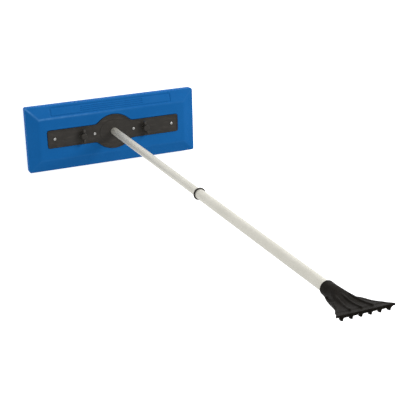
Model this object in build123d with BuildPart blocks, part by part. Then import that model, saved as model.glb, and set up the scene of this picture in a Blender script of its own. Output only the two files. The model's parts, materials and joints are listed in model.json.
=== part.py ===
"""Telescoping snow rake: foam head, two-piece twist-lock pole and ice scraper.

Millimetres. The origin is the centre of the foam's working face, +X runs along
the head's long side and +Z runs up the pole to the scraper. Threads are plain
cylinders at their outside diameter.
"""
import os
from math import cos, radians, sin

from build123d import *

os.makedirs("parts", exist_ok=True)

# ---- fits
RUNNING_FIT = 0.05
TUBE_FIT = 0.075
FREE_GAP = 0.3
OVERSHOOT = 1.0

# ---- foam head
HEAD_LENGTH = 457.0
HEAD_DEPTH = 171.0
HEAD_HEIGHT = 34.0
BEVEL_MARGIN = 31.0
BEVEL_HEIGHT = 11.0
HEAD_CORNER_R = 5.0
PLATEAU_CORNER_R = 3.0
FACE_EDGE_R = 5.0

# ---- tubes
INNER_TUBE_R = 9.525
OUTER_TUBE_R = 11.1
TUBE_WALL = 1.0
INNER_BORE_R = INNER_TUBE_R - TUBE_WALL
OUTER_BORE_R = OUTER_TUBE_R - TUBE_WALL

# ---- back plate, let into the foam
PLATE_THICKNESS = 3.0
PLATE_SINK = 2.0
PLATE_GAP = 0.5
PLATE_Z = HEAD_HEIGHT - PLATE_SINK
PLATE_TOP = PLATE_Z + PLATE_THICKNESS
ARM_LENGTH = 356.0
ARM_DEPTH = 46.0
ARM_CORNER_R = 5.0
DISC_HALF_LENGTH = 53.0
DISC_HALF_DEPTH = 45.0
NECK_FILLET_R = 16.0
RIM_WIDTH = 3.0
RIM_HEIGHT = 0.9
DISC_PAD_INSET = 14.0
DISC_PAD_HEIGHT = 0.8
SOCKET_R = 13.5
SOCKET_FLOOR_Z = 14.0
SOCKET_FLOOR_THICKNESS = 3.0
SOCKET_BOTTOM_Z = SOCKET_FLOOR_Z - SOCKET_FLOOR_THICKNESS

# ---- anchor frame inside the foam
ANCHOR_Z = 17.0
ANCHOR_THICKNESS = 4.0
ANCHOR_TOP = ANCHOR_Z + ANCHOR_THICKNESS
ANCHOR_LENGTH = 380.0
ANCHOR_DEPTH = 96.0
ANCHOR_CORNER_R = 10.0
ANCHOR_OPENING_R = SOCKET_R + OVERSHOOT
KEY_HOLE_R = 9.0
KEY_HOLE_PITCH = 42.0
KEY_HOLE_ROW_GAP = 62.0
KEY_HOLE_COUNT = 8
SPINE_WIDTH = 3.0
SPINE_HEIGHT = 6.0
SPINE_START_X = 30.0
SPINE_END_X = 184.0
SCREW_BOSS_R = 5.5
BOLT_BOSS_R = 7.0

# ---- plate screws
SCREW_X = (-160.0, -53.2, 53.2, 160.0)
SCREW_SHANK_R = 1.95
SCREW_LENGTH = 18.0
SCREW_HEAD_R = 3.4
SCREW_HEAD_HEIGHT = 2.3
SCREW_HEAD_FILLET = 1.1
CROSS_LENGTH = 4.2
CROSS_WIDTH = 0.9
CROSS_DEPTH = 1.3

# ---- knob bolts, washers, wing knobs and their inserts
KNOB_X = 85.0
KNOB_SIDES = (("left", -KNOB_X, 90.0), ("right", KNOB_X, 104.0))
BOLT_R = 3.0
BOLT_HEAD_R = 6.5
BOLT_HEAD_HEIGHT = 3.0
BOLT_DOME_FILLET = 2.1
BOLT_NECK = 6.0
WASHER_R = 8.0
WASHER_THICKNESS = 1.2
WASHER_Z = PLATE_TOP + FREE_GAP
KNOB_Z = WASHER_Z + WASHER_THICKNESS + FREE_GAP
HUB_R = 8.0
HUB_HEIGHT = 14.0
HUB_TOP_FILLET = 1.5
WING_THICKNESS = 5.6
WING_PROFILE = ((8.0, 0.0), (19.0, 6.5), (19.0, 14.0), (12.5, 16.0), (6.0, 11.0))
WING_CORNER_R = 2.2
WING_EDGE_FILLET = 0.9
INSERT_R = 4.5
INSERT_START = 0.6
INSERT_LENGTH = 10.0
KNOB_BORE_DEPTH = 12.4
BOLT_TOP_Z = KNOB_Z + INSERT_START + INSERT_LENGTH

# ---- socket bolt, washer and foot plug
FOOT_PLUG_LENGTH = 25.0
SOCKET_WASHER_R = 8.0
SOCKET_WASHER_THICKNESS = 1.4
SOCKET_BOLT_HEAD_R = 5.0
SOCKET_BOLT_HEAD_HEIGHT = 4.0
SOCKET_BOLT_END_Z = 33.0
HEX_SIDES = 6
HEX_RECESS_R = 2.6
HEX_RECESS_DEPTH = 2.4

# ---- mouth of the outer tube
MOUTH_Z = 589.0
BUSH_FLANGE_R = 14.0
BUSH_FLANGE_THICKNESS = 3.0
BUSH_SLEEVE_LENGTH = 12.0
BUSH_FLANGE_FILLET = 0.9

# ---- twist lock in the far end of the inner tube
INNER_TUBE_END_Z = 611.0
LOCK_PLUG_DEPTH = 18.0
LOCK_FLANGE_THICKNESS = 3.0
LOCK_FLANGE_TOP = INNER_TUBE_END_Z + LOCK_FLANGE_THICKNESS
STUD_R = 3.0
STUD_START_Z = INNER_TUBE_END_Z - LOCK_PLUG_DEPTH
STUD_END_Z = 648.0
STUD_CHAMFER = 0.6
SLEEVE_GAP = 0.5
SLEEVE_Z = LOCK_FLANGE_TOP + SLEEVE_GAP
SLEEVE_LENGTH = 24.0
SLEEVE_WEB = 4.0
SLEEVE_R = OUTER_BORE_R - RUNNING_FIT
SLEEVE_SLOT_WIDTH = 2.2
CONE_INSET = 8.0
CONE_Z = SLEEVE_Z + CONE_INSET
CONE_LENGTH = SLEEVE_Z + SLEEVE_LENGTH - CONE_Z
CONE_SMALL_R = 6.0
CONE_SLOPE = 0.125
CONE_LARGE_R = CONE_SMALL_R + CONE_SLOPE * CONE_LENGTH
CONE_KEY_WIDTH = 1.6
CONE_KEY_REACH = 9.3
CONE_KEY_LENGTH = 8.0
CAVITY_SMALL_R = CONE_SMALL_R + RUNNING_FIT - CONE_SLOPE * (CONE_Z - SLEEVE_Z - SLEEVE_WEB)
CAVITY_LARGE_R = CONE_LARGE_R + RUNNING_FIT
STOP_NUT_Z = 642.2
STOP_NUT_HEIGHT = 4.5
STOP_NUT_R = 5.8

# ---- far end of the outer tube
OUTER_TUBE_END_Z = 1143.0
TUBE_PLUG_LENGTH = 10.0

# ---- ice scraper
COLLAR_Z = 1121.0
COLLAR_R = 14.0
COLLAR_CAP = 3.0
COLLAR_END_Z = OUTER_TUBE_END_Z + COLLAR_CAP
COLLAR_FILLET = 1.2
BLADE_TILT = 10.0
BLADE_EDGE_Y = 11.4
TOOTH_DROP = 9.2
OVERALL_LENGTH = 1245.0
BLADE_EDGE_Z = OVERALL_LENGTH - TOOTH_DROP * sin(radians(BLADE_TILT))
BLADE_HALF_WIDTH = 55.0
BLADE_THICKNESS = 2.2
BLADE_FLARE = (
    (-122.0, 7.5),
    (-112.0, 11.0),
    (-100.0, 16.5),
    (-84.0, 21.5),
    (-66.0, 25.8),
    (-50.0, 28.8),
    (-36.0, 33.2),
    (-24.0, 39.0),
    (-12.0, 46.7),
    (0.0, BLADE_HALF_WIDTH),
)
FLANGE_WIDTH = 2.4
FLANGE_FRONT_DEPTH = 3.4
FLANGE_DEPTH = 8.4
FLANGE_PROFILE = ((0.0, FLANGE_FRONT_DEPTH), (-45.0, FLANGE_DEPTH), (-84.0, FLANGE_DEPTH), (-122.0, 2.3))
BLADE_RIM_WIDTH = 3.0
BLADE_RIM_HEIGHT = 1.2
RIB_WIDTH = 4.0
RIB_START = -84.0
RIB_END = -11.0
RIB_ROOTS_X = (-10.0, 0.0, 10.0)
RIB_FAN = 2.13
RIB_CORNER_R = 1.3
COMB_THICKNESS = 3.2
COMB_DEPTH = 5.0
COMB_CORNER = ((BLADE_HALF_WIDTH, 0.6), (51.0, 3.2), (47.0, COMB_DEPTH))
CORNER_RELIEF_LENGTH = 8.0
TEETH = 6
TOOTH_PITCH = 17.6
TOOTH_TIP = 3.6
TOOTH_ROOT = 4.8
TOOTH_ROOT_DEPTH = 1.0
TOOTH_THICKNESS = 6.8
TOOTH_TIP_R = 1.0
HUMP_SECTIONS = (
    (1170.0, 2.45, 20.0, 7.45),
    (1205.0, 4.10, 27.5, 2.00),
    (1222.0, 6.70, 30.0, 1.10),
)
SCRAPER_SCREW_Z = OUTER_TUBE_END_Z - TUBE_PLUG_LENGTH / 2
SCRAPER_SCREW_R = 1.9
SCRAPER_SCREW_LENGTH = 10.0
SCRAPER_SCREW_HEAD_R = 3.4
SCRAPER_SCREW_SINK = 1.6
SCRAPER_SCREW_SEAT_Y = -COLLAR_R + SCRAPER_SCREW_SINK
SCRAPER_SCREW_END_Y = SCRAPER_SCREW_SEAT_Y + SCRAPER_SCREW_LENGTH


def save(part, label):
    """Label a finished sub-part and write its STEP file."""
    part.label = label
    export_step(part, f"parts/{label}.step")


def upright(z_low, height, radius, x=0.0, mode=Mode.ADD):
    """Cylinder along +Z that starts at z_low."""
    with Locations((x, 0, z_low + height / 2)):
        Cylinder(radius=radius, height=height, mode=mode)


def crosswise(y_low, length, radius, z, mode=Mode.ADD):
    """Cylinder along +Y through the pole's axis that starts at y_low."""
    with Locations(Location((0, y_low + length / 2, z), (90, 0, 0))):
        Cylinder(radius=radius, height=length, mode=mode)


def draw_plate_outline(sketch, inset=0.0):
    """Disc with two arms, its border moved in by inset, on the sketch being drawn."""
    RectangleRounded(ARM_LENGTH - 2 * inset, ARM_DEPTH - 2 * inset, ARM_CORNER_R - inset)
    Ellipse(DISC_HALF_LENGTH - inset, DISC_HALF_DEPTH - inset)
    necks = sketch.vertices().filter_by(lambda v: abs(v.X) < DISC_HALF_LENGTH)
    fillet(necks, radius=NECK_FILLET_R + inset)


def draw_blade_outline(inset=0.0):
    """Fan-shaped face of the blade, its sides moved in by inset, on the sketch being drawn."""
    right = [(half_width - inset, along) for along, half_width in BLADE_FLARE]
    left = [(-x, along) for x, along in reversed(right)]
    with BuildLine() as border:
        Spline(*right)
        Line(right[-1], left[0])
        Spline(*left)
        Line(left[-1], right[0])
    make_face(border.edges())


# ---- plastic frame moulded inside the foam
with BuildPart() as anchor_frame:
    with BuildSketch(Plane.XY.offset(ANCHOR_Z)):
        RectangleRounded(ANCHOR_LENGTH, ANCHOR_DEPTH, ANCHOR_CORNER_R)
        Circle(ANCHOR_OPENING_R, mode=Mode.SUBTRACT)
        with GridLocations(KEY_HOLE_PITCH, KEY_HOLE_ROW_GAP, KEY_HOLE_COUNT, 2):
            Circle(KEY_HOLE_R, mode=Mode.SUBTRACT)
    extrude(amount=ANCHOR_THICKNESS)
    for direction in (-1, 1):
        spine_middle_x = direction * (SPINE_START_X + SPINE_END_X) / 2
        with Locations((spine_middle_x, 0, ANCHOR_TOP + SPINE_HEIGHT / 2)):
            Box(SPINE_END_X - SPINE_START_X, SPINE_WIDTH, SPINE_HEIGHT)
        upright(ANCHOR_TOP, PLATE_Z - ANCHOR_TOP, BOLT_BOSS_R, direction * KNOB_X)
    for screw_x in SCREW_X:
        upright(ANCHOR_TOP, PLATE_Z - ANCHOR_TOP, SCREW_BOSS_R, screw_x)
    for screw_x in SCREW_X:
        upright(ANCHOR_Z, PLATE_Z - ANCHOR_Z, SCREW_SHANK_R + RUNNING_FIT, screw_x, Mode.SUBTRACT)
    for direction in (-1, 1):
        upright(ANCHOR_Z, PLATE_Z - ANCHOR_Z, BOLT_R + RUNNING_FIT, direction * KNOB_X, Mode.SUBTRACT)
        with Locations((direction * KNOB_X, 0, ANCHOR_Z + ANCHOR_THICKNESS / 2)):
            Box(BOLT_NECK, BOLT_NECK, ANCHOR_THICKNESS, mode=Mode.SUBTRACT)
save(anchor_frame.part, "anchor_frame")

# ---- foam head, foamed around the frame and the socket
with BuildPart() as foam_head:
    with BuildSketch(Plane.XY):
        RectangleRounded(HEAD_LENGTH, HEAD_DEPTH, HEAD_CORNER_R)
    extrude(amount=HEAD_HEIGHT - BEVEL_HEIGHT)
    fillet(foam_head.faces().sort_by(Axis.Z)[0].edges(), radius=FACE_EDGE_R)
    with BuildSketch(Plane.XY.offset(HEAD_HEIGHT - BEVEL_HEIGHT)):
        RectangleRounded(HEAD_LENGTH, HEAD_DEPTH, HEAD_CORNER_R)
    with BuildSketch(Plane.XY.offset(HEAD_HEIGHT)):
        RectangleRounded(
            HEAD_LENGTH - 2 * BEVEL_MARGIN,
            HEAD_DEPTH - 2 * BEVEL_MARGIN,
            PLATEAU_CORNER_R,
        )
    loft()
    with BuildSketch(Plane.XY.offset(PLATE_Z)) as plate_seat:
        draw_plate_outline(plate_seat, -PLATE_GAP)
    extrude(amount=PLATE_SINK, mode=Mode.SUBTRACT)
    add(anchor_frame.part, mode=Mode.SUBTRACT)
    upright(SOCKET_BOTTOM_Z, PLATE_Z - SOCKET_BOTTOM_Z, SOCKET_R, mode=Mode.SUBTRACT)
    bolt_room = SOCKET_WASHER_THICKNESS + SOCKET_BOLT_HEAD_HEIGHT
    upright(SOCKET_BOTTOM_Z - bolt_room, bolt_room, SOCKET_WASHER_R, mode=Mode.SUBTRACT)
    for screw_x in SCREW_X:
        upright(ANCHOR_Z, PLATE_Z - ANCHOR_Z, SCREW_SHANK_R + RUNNING_FIT, screw_x, Mode.SUBTRACT)
    for direction in (-1, 1):
        bolt_x = direction * KNOB_X
        upright(ANCHOR_Z - BOLT_HEAD_HEIGHT, BOLT_HEAD_HEIGHT, BOLT_HEAD_R, bolt_x, Mode.SUBTRACT)
        upright(ANCHOR_Z, PLATE_Z - ANCHOR_Z, BOLT_BOSS_R, bolt_x, Mode.SUBTRACT)
save(foam_head.part, "foam_head")

# ---- back plate with its blind socket
with BuildPart() as back_plate:
    with BuildSketch(Plane.XY.offset(PLATE_Z)) as plate_face:
        draw_plate_outline(plate_face)
    extrude(amount=PLATE_THICKNESS + RIM_HEIGHT)
    with BuildSketch(Plane.XY.offset(PLATE_TOP)) as rim_inside:
        draw_plate_outline(rim_inside, RIM_WIDTH)
    extrude(amount=RIM_HEIGHT, mode=Mode.SUBTRACT)
    with BuildSketch(Plane.XY.offset(PLATE_TOP)):
        Ellipse(DISC_HALF_LENGTH - DISC_PAD_INSET, DISC_HALF_DEPTH - DISC_PAD_INSET)
    extrude(amount=DISC_PAD_HEIGHT)
    pad_edges = back_plate.faces().filter_by(Axis.Z).sort_by(Axis.Z)[-1].edges()
    chamfer(pad_edges, length=DISC_PAD_HEIGHT / 2)
    upright(SOCKET_BOTTOM_Z, PLATE_Z - SOCKET_BOTTOM_Z, SOCKET_R)
    socket_depth = PLATE_TOP + DISC_PAD_HEIGHT - SOCKET_FLOOR_Z
    upright(SOCKET_FLOOR_Z, socket_depth, INNER_TUBE_R + TUBE_FIT, mode=Mode.SUBTRACT)
    upright(SOCKET_BOTTOM_Z, SOCKET_FLOOR_THICKNESS, BOLT_R + RUNNING_FIT, mode=Mode.SUBTRACT)
    for screw_x in SCREW_X:
        upright(PLATE_Z, PLATE_THICKNESS, SCREW_SHANK_R + RUNNING_FIT, screw_x, Mode.SUBTRACT)
    for direction in (-1, 1):
        upright(PLATE_Z, PLATE_THICKNESS, BOLT_R + RUNNING_FIT, direction * KNOB_X, Mode.SUBTRACT)
save(back_plate.part, "back_plate")

# ---- four pan-head screws
with BuildPart() as plate_screws:
    for screw_x in SCREW_X:
        upright(PLATE_TOP - SCREW_LENGTH, SCREW_LENGTH, SCREW_SHANK_R, screw_x)
        upright(PLATE_TOP, SCREW_HEAD_HEIGHT, SCREW_HEAD_R, screw_x)
    head_rims = plate_screws.edges().filter_by(GeomType.CIRCLE).group_by(Axis.Z)[-1]
    fillet(head_rims, radius=SCREW_HEAD_FILLET)
    cross_z = PLATE_TOP + SCREW_HEAD_HEIGHT - CROSS_DEPTH / 2
    with Locations(*((screw_x, 0, cross_z) for screw_x in SCREW_X)):
        Box(CROSS_LENGTH, CROSS_WIDTH, CROSS_DEPTH, mode=Mode.SUBTRACT)
        Box(CROSS_WIDTH, CROSS_LENGTH, CROSS_DEPTH, mode=Mode.SUBTRACT)
save(plate_screws.part, "plate_screws")

# ---- two carriage bolts held under the frame
with BuildPart() as knob_bolts:
    for direction in (-1, 1):
        bolt_x = direction * KNOB_X
        upright(ANCHOR_Z - BOLT_HEAD_HEIGHT, BOLT_HEAD_HEIGHT, BOLT_HEAD_R, bolt_x)
        upright(ANCHOR_Z, BOLT_TOP_Z - ANCHOR_Z, BOLT_R, bolt_x)
        with Locations((bolt_x, 0, ANCHOR_Z + ANCHOR_THICKNESS / 2)):
            Box(BOLT_NECK, BOLT_NECK, ANCHOR_THICKNESS)
    dome_edges = knob_bolts.edges().filter_by(GeomType.CIRCLE).group_by(Axis.Z)[0]
    fillet(dome_edges, radius=BOLT_DOME_FILLET)
save(knob_bolts.part, "knob_bolts")

# ---- washer, brass insert and wing knob on each bolt
for side, knob_x, knob_angle in KNOB_SIDES:
    with BuildPart() as knob_washer:
        upright(WASHER_Z, WASHER_THICKNESS, WASHER_R, knob_x)
        upright(WASHER_Z, WASHER_THICKNESS, BOLT_R + RUNNING_FIT, knob_x, Mode.SUBTRACT)
    save(knob_washer.part, f"knob_washer_{side}")

    with BuildPart() as knob_insert:
        upright(KNOB_Z + INSERT_START, INSERT_LENGTH, INSERT_R, knob_x)
        upright(KNOB_Z + INSERT_START, INSERT_LENGTH, BOLT_R + RUNNING_FIT, knob_x, Mode.SUBTRACT)
    save(knob_insert.part, f"knob_insert_{side}")

    wing_plane = Plane(
        origin=(knob_x, 0, KNOB_Z),
        x_dir=(cos(radians(knob_angle)), sin(radians(knob_angle)), 0),
        z_dir=(sin(radians(knob_angle)), -cos(radians(knob_angle)), 0),
    )
    with BuildPart() as wing_knob:
        with BuildSketch(wing_plane) as wing_face:
            Polygon(
                *WING_PROFILE,
                *((-u, v) for u, v in reversed(WING_PROFILE)),
                align=None,
            )
            wing_tips = wing_face.vertices().filter_by(lambda v: v.Z > KNOB_Z + OVERSHOOT)
            fillet(wing_tips, radius=WING_CORNER_R)
        extrude(amount=WING_THICKNESS / 2, both=True)
        wing_walls = wing_knob.faces().filter_by(wing_plane)
        fillet(wing_walls.edges(), radius=WING_EDGE_FILLET)
        upright(KNOB_Z, HUB_HEIGHT, HUB_R, knob_x)
        hub_top = wing_knob.edges().filter_by(GeomType.CIRCLE).group_by(Axis.Z)[-1]
        fillet(hub_top, radius=HUB_TOP_FILLET)
        upright(KNOB_Z, KNOB_BORE_DEPTH, BOLT_R + FREE_GAP, knob_x, Mode.SUBTRACT)
        upright(KNOB_Z + INSERT_START, INSERT_LENGTH, INSERT_R, knob_x, Mode.SUBTRACT)
    save(wing_knob.part, f"wing_knob_{side}")

# ---- fastening of the pole in the socket
with BuildPart() as socket_washer:
    upright(SOCKET_BOTTOM_Z - SOCKET_WASHER_THICKNESS, SOCKET_WASHER_THICKNESS, SOCKET_WASHER_R)
    upright(
        SOCKET_BOTTOM_Z - SOCKET_WASHER_THICKNESS,
        SOCKET_WASHER_THICKNESS,
        BOLT_R + RUNNING_FIT,
        mode=Mode.SUBTRACT,
    )
save(socket_washer.part, "socket_washer")

with BuildPart() as socket_bolt:
    bolt_seat_z = SOCKET_BOTTOM_Z - SOCKET_WASHER_THICKNESS
    upright(bolt_seat_z - SOCKET_BOLT_HEAD_HEIGHT, SOCKET_BOLT_HEAD_HEIGHT, SOCKET_BOLT_HEAD_R)
    upright(bolt_seat_z, SOCKET_BOLT_END_Z - bolt_seat_z, BOLT_R)
    with BuildSketch(Plane.XY.offset(bolt_seat_z - SOCKET_BOLT_HEAD_HEIGHT)):
        RegularPolygon(HEX_RECESS_R, HEX_SIDES)
    extrude(amount=HEX_RECESS_DEPTH, mode=Mode.SUBTRACT)
save(socket_bolt.part, "socket_bolt")

with BuildPart() as foot_plug:
    upright(SOCKET_FLOOR_Z, FOOT_PLUG_LENGTH, INNER_BORE_R)
    upright(SOCKET_FLOOR_Z, FOOT_PLUG_LENGTH, BOLT_R + RUNNING_FIT, mode=Mode.SUBTRACT)
save(foot_plug.part, "foot_plug")

# ---- inner tube
with BuildPart() as inner_tube:
    upright(SOCKET_FLOOR_Z, INNER_TUBE_END_Z - SOCKET_FLOOR_Z, INNER_TUBE_R)
    upright(SOCKET_FLOOR_Z, INNER_TUBE_END_Z - SOCKET_FLOOR_Z, INNER_BORE_R, mode=Mode.SUBTRACT)
save(inner_tube.part, "inner_tube")

# ---- twist lock: plug, stud, split sleeve, cone nut and stop nut
with BuildPart() as lock_plug:
    upright(STUD_START_Z, LOCK_PLUG_DEPTH, INNER_BORE_R)
    upright(INNER_TUBE_END_Z, LOCK_FLANGE_THICKNESS, INNER_TUBE_R)
    upright(STUD_START_Z, LOCK_FLANGE_TOP - STUD_START_Z, STUD_R, mode=Mode.SUBTRACT)
save(lock_plug.part, "lock_plug")

with BuildPart() as lock_stud:
    upright(STUD_START_Z, STUD_END_Z - STUD_START_Z, STUD_R)
    stud_tip = lock_stud.faces().sort_by(Axis.Z)[-1].edges()
    chamfer(stud_tip, length=STUD_CHAMFER)
save(lock_stud.part, "lock_stud")

with BuildPart() as expander_sleeve:
    upright(SLEEVE_Z, SLEEVE_LENGTH, SLEEVE_R)
    upright(SLEEVE_Z, SLEEVE_WEB, STUD_R + RUNNING_FIT, mode=Mode.SUBTRACT)
    cavity_length = SLEEVE_LENGTH - SLEEVE_WEB
    with Locations((0, 0, SLEEVE_Z + SLEEVE_WEB + cavity_length / 2)):
        Cone(CAVITY_SMALL_R, CAVITY_LARGE_R, cavity_length, mode=Mode.SUBTRACT)
    with Locations((SLEEVE_R / 2, 0, SLEEVE_Z + SLEEVE_LENGTH / 2)):
        Box(SLEEVE_R + OVERSHOOT, SLEEVE_SLOT_WIDTH, SLEEVE_LENGTH, mode=Mode.SUBTRACT)
save(expander_sleeve.part, "expander_sleeve")

with BuildPart() as cone_nut:
    with Locations((0, 0, CONE_Z + CONE_LENGTH / 2)):
        Cone(CONE_SMALL_R, CONE_LARGE_R, CONE_LENGTH)
    key_z = CONE_Z + CONE_LENGTH - CONE_KEY_LENGTH / 2
    with Locations((CONE_KEY_REACH / 2, 0, key_z)):
        Box(CONE_KEY_REACH, CONE_KEY_WIDTH, CONE_KEY_LENGTH)
    upright(CONE_Z, CONE_LENGTH, STUD_R + RUNNING_FIT, mode=Mode.SUBTRACT)
save(cone_nut.part, "cone_nut")

with BuildPart() as stop_nut:
    with BuildSketch(Plane.XY.offset(STOP_NUT_Z)):
        RegularPolygon(STOP_NUT_R, HEX_SIDES)
        Circle(STUD_R, mode=Mode.SUBTRACT)
    extrude(amount=STOP_NUT_HEIGHT)
save(stop_nut.part, "stop_nut")

# ---- outer tube, its mouth bush and its end plug
with BuildPart() as outer_tube:
    upright(MOUTH_Z, OUTER_TUBE_END_Z - MOUTH_Z, OUTER_TUBE_R)
    upright(MOUTH_Z, OUTER_TUBE_END_Z - MOUTH_Z, OUTER_BORE_R, mode=Mode.SUBTRACT)
    hole_start_y = -OUTER_TUBE_R - OVERSHOOT
    crosswise(hole_start_y, OUTER_TUBE_R, SCRAPER_SCREW_R + RUNNING_FIT, SCRAPER_SCREW_Z, Mode.SUBTRACT)
save(outer_tube.part, "outer_tube")

with BuildPart() as mouth_bush:
    upright(MOUTH_Z - BUSH_FLANGE_THICKNESS, BUSH_FLANGE_THICKNESS, BUSH_FLANGE_R)
    flange_rims = mouth_bush.edges().filter_by(GeomType.CIRCLE)
    fillet(flange_rims, radius=BUSH_FLANGE_FILLET)
    upright(MOUTH_Z, BUSH_SLEEVE_LENGTH, OUTER_BORE_R)
    upright(
        MOUTH_Z - BUSH_FLANGE_THICKNESS,
        BUSH_FLANGE_THICKNESS + BUSH_SLEEVE_LENGTH,
        INNER_TUBE_R + TUBE_FIT,
        mode=Mode.SUBTRACT,
    )
save(mouth_bush.part, "mouth_bush")

with BuildPart() as tube_plug:
    upright(OUTER_TUBE_END_Z - TUBE_PLUG_LENGTH, TUBE_PLUG_LENGTH, OUTER_BORE_R)
    hole_length = SCRAPER_SCREW_END_Y + OUTER_BORE_R
    crosswise(-OUTER_BORE_R, hole_length, SCRAPER_SCREW_R + RUNNING_FIT, SCRAPER_SCREW_Z, Mode.SUBTRACT)
save(tube_plug.part, "tube_plug")

# ---- ice scraper: tilted blade with a comb of teeth, hump and collar
tilt_cos = cos(radians(BLADE_TILT))
tilt_sin = sin(radians(BLADE_TILT))
blade_edge = (0, BLADE_EDGE_Y, BLADE_EDGE_Z)
blade_top = Plane(origin=blade_edge, x_dir=(1, 0, 0), z_dir=(0, -tilt_cos, tilt_sin))
comb_front = Plane(origin=blade_edge, x_dir=(1, 0, 0), z_dir=(0, -tilt_sin, -tilt_cos))

blade_side = Plane(origin=blade_edge, x_dir=(0, tilt_sin, tilt_cos), z_dir=(1, 0, 0))

with BuildPart() as ice_scraper:
    with BuildSketch(blade_top.offset(-BLADE_RIM_HEIGHT)):
        draw_blade_outline()
    extrude(amount=BLADE_RIM_HEIGHT + FLANGE_DEPTH)
    with BuildSketch(blade_top.offset(-BLADE_RIM_HEIGHT)):
        draw_blade_outline(BLADE_RIM_WIDTH)
    extrude(amount=BLADE_RIM_HEIGHT, mode=Mode.SUBTRACT)
    with BuildSketch(blade_top.offset(BLADE_THICKNESS)):
        draw_blade_outline(FLANGE_WIDTH)
    extrude(amount=FLANGE_DEPTH - BLADE_THICKNESS, mode=Mode.SUBTRACT)
    with BuildSketch(blade_side):
        deepest = FLANGE_DEPTH + OVERSHOOT
        Polygon(*FLANGE_PROFILE, (FLANGE_PROFILE[-1][0], deepest), (0, deepest), align=None)
    extrude(amount=BLADE_HALF_WIDTH + OVERSHOOT, both=True, mode=Mode.SUBTRACT)
    for root_x in RIB_ROOTS_X:
        tip_x = root_x * RIB_FAN
        with BuildSketch(blade_top) as rib:
            Polygon(
                (root_x - RIB_WIDTH / 2, RIB_START),
                (root_x + RIB_WIDTH / 2, RIB_START),
                (tip_x + RIB_WIDTH / 2, RIB_END),
                (tip_x - RIB_WIDTH / 2, RIB_END),
                align=None,
            )
            fillet(rib.vertices(), radius=RIB_CORNER_R)
        extrude(amount=-BLADE_RIM_HEIGHT)
    with BuildSketch(comb_front):
        beyond = BLADE_HALF_WIDTH + OVERSHOOT
        below = COMB_DEPTH + OVERSHOOT
        inner_x = COMB_CORNER[-1][0]
        Polygon(*COMB_CORNER, (inner_x, below), (beyond, below), (beyond, COMB_CORNER[0][1]), align=None)
        mirror(about=Plane.YZ)
    extrude(amount=CORNER_RELIEF_LENGTH, mode=Mode.SUBTRACT)
    with BuildSketch(comb_front):
        right = ((BLADE_HALF_WIDTH, -BLADE_RIM_HEIGHT), *COMB_CORNER)
        left = ((-x, y) for x, y in reversed(right))
        Polygon(*right, *left, align=None)
    extrude(amount=COMB_THICKNESS)
    with BuildSketch(comb_front) as teeth:
        with GridLocations(TOOTH_PITCH, 0, TEETH, 1):
            Polygon(
                (-TOOTH_ROOT / 2, TOOTH_ROOT_DEPTH),
                (TOOTH_ROOT / 2, TOOTH_ROOT_DEPTH),
                (TOOTH_TIP / 2, TOOTH_DROP),
                (-TOOTH_TIP / 2, TOOTH_DROP),
                align=None,
            )
        fillet(teeth.vertices().group_by(Axis.Y)[0], radius=TOOTH_TIP_R)
    extrude(amount=TOOTH_THICKNESS)
    with BuildSketch(Plane.XY.offset(COLLAR_END_Z)):
        Circle(COLLAR_R)
    for section_z, middle_y, half_width, half_height in HUMP_SECTIONS:
        with BuildSketch(Plane.XY.offset(section_z)):
            with Locations((0, middle_y)):
                Ellipse(half_width, half_height)
    loft()
    upright(COLLAR_Z, COLLAR_END_Z - COLLAR_Z, COLLAR_R)
    mouth_rim = ice_scraper.faces().sort_by(Axis.Z)[0].edges()
    fillet(mouth_rim, radius=COLLAR_FILLET)
    tube_room = OUTER_TUBE_END_Z - COLLAR_Z
    upright(COLLAR_Z, tube_room, OUTER_TUBE_R + RUNNING_FIT, mode=Mode.SUBTRACT)
    crosswise(-COLLAR_R, COLLAR_R, SCRAPER_SCREW_R + RUNNING_FIT, SCRAPER_SCREW_Z, Mode.SUBTRACT)
    crosswise(
        -COLLAR_R - OVERSHOOT,
        OVERSHOOT + SCRAPER_SCREW_SINK,
        SCRAPER_SCREW_HEAD_R + FREE_GAP,
        SCRAPER_SCREW_Z,
        Mode.SUBTRACT,
    )
save(ice_scraper.part, "ice_scraper")

with BuildPart() as scraper_screw:
    crosswise(SCRAPER_SCREW_SEAT_Y, SCRAPER_SCREW_LENGTH, SCRAPER_SCREW_R, SCRAPER_SCREW_Z)
    crosswise(-COLLAR_R, SCRAPER_SCREW_SINK, SCRAPER_SCREW_HEAD_R, SCRAPER_SCREW_Z)
    with BuildSketch(Plane(origin=(0, -COLLAR_R, SCRAPER_SCREW_Z), z_dir=(0, 1, 0))):
        Rectangle(CROSS_LENGTH, CROSS_WIDTH)
        Rectangle(CROSS_WIDTH, CROSS_LENGTH)
    extrude(amount=CROSS_DEPTH, mode=Mode.SUBTRACT)
save(scraper_screw.part, "scraper_screw")
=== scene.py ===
"""Looks of the telescoping snow rake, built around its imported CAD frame. Metres, +Z up the pole."""
import json
import math

import bpy
import numpy as np
from mathutils import Matrix, Vector


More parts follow.
